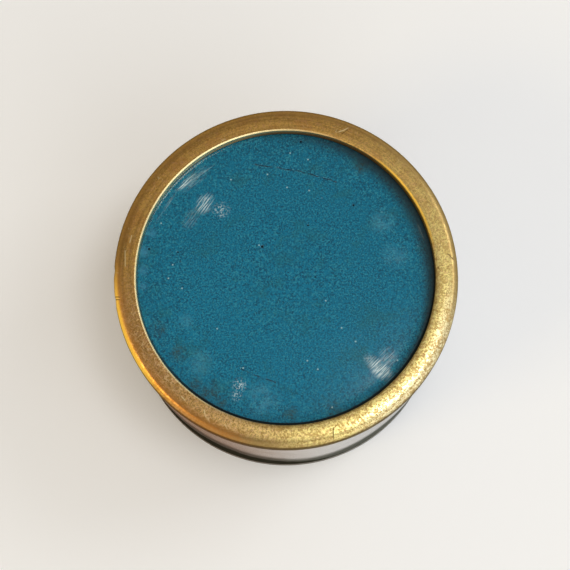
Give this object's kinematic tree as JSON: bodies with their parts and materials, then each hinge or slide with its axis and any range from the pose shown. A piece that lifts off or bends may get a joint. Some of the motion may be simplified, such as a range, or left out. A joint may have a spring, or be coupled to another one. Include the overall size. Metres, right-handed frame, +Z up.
{
  "type": "pill box",
  "caption": "Round pill box: a brass-rimmed lid with a teal enamel plaque lifts off and turns on a silver-coloured base with a gilt liner.",
  "frame": {"origin": "centre of the round footprint, on the plane the foot ring stands on", "axes": "+Z up along the common turning axis of lid and base; the box is round, so +X and +Y are free; the split rings have their gaps just below +X"},
  "size_m": [0.038, 0.038, 0.0274],
  "materials": {
    "rim_brass": "turned brass, satin with brown patina and fine scratches",
    "teal_enamel": "opaque glossy teal vitreous enamel, finely speckled, with a few rubbed patches",
    "plaque_copper": "bare copper, satin",
    "counter_enamel": "opaque dark counter-enamel",
    "cork_packing": "thin pressed cork, matte",
    "gilt_brass": "polished gilt",
    "silver_plate": "satin silver plate over brass, tarnished darker towards the foot",
    "spring_bronze": "hard-drawn phosphor bronze"
  },
  "bodies": {
    "base": {"body_wall": "silver_plate", "mouth_ring": "silver_plate", "liner_cup": "gilt_brass", "base_plate": "silver_plate", "foot_ring": "silver_plate"},
    "grip": {"grip_ring": "spring_bronze"},
    "lid": {"lid_rim": "rim_brass", "enamel_face": "teal_enamel", "copper_plaque": "plaque_copper", "counter_enamel": "counter_enamel", "packing_disc": "cork_packing", "lid_backplate": "gilt_brass", "retaining_ring": "spring_bronze"}
  },
  "joints": [
    {"name": "lid_lift", "type": "slide", "parent": "base", "child": "grip", "axis": [0, 0, 1], "range_m": [0, 0.04]},
    {"name": "lid_turn", "type": "hinge", "parent": "grip", "child": "lid", "pos_m": [0, 0, 0.0219], "axis": [0, 0, 1], "continuous": true}
  ]
}
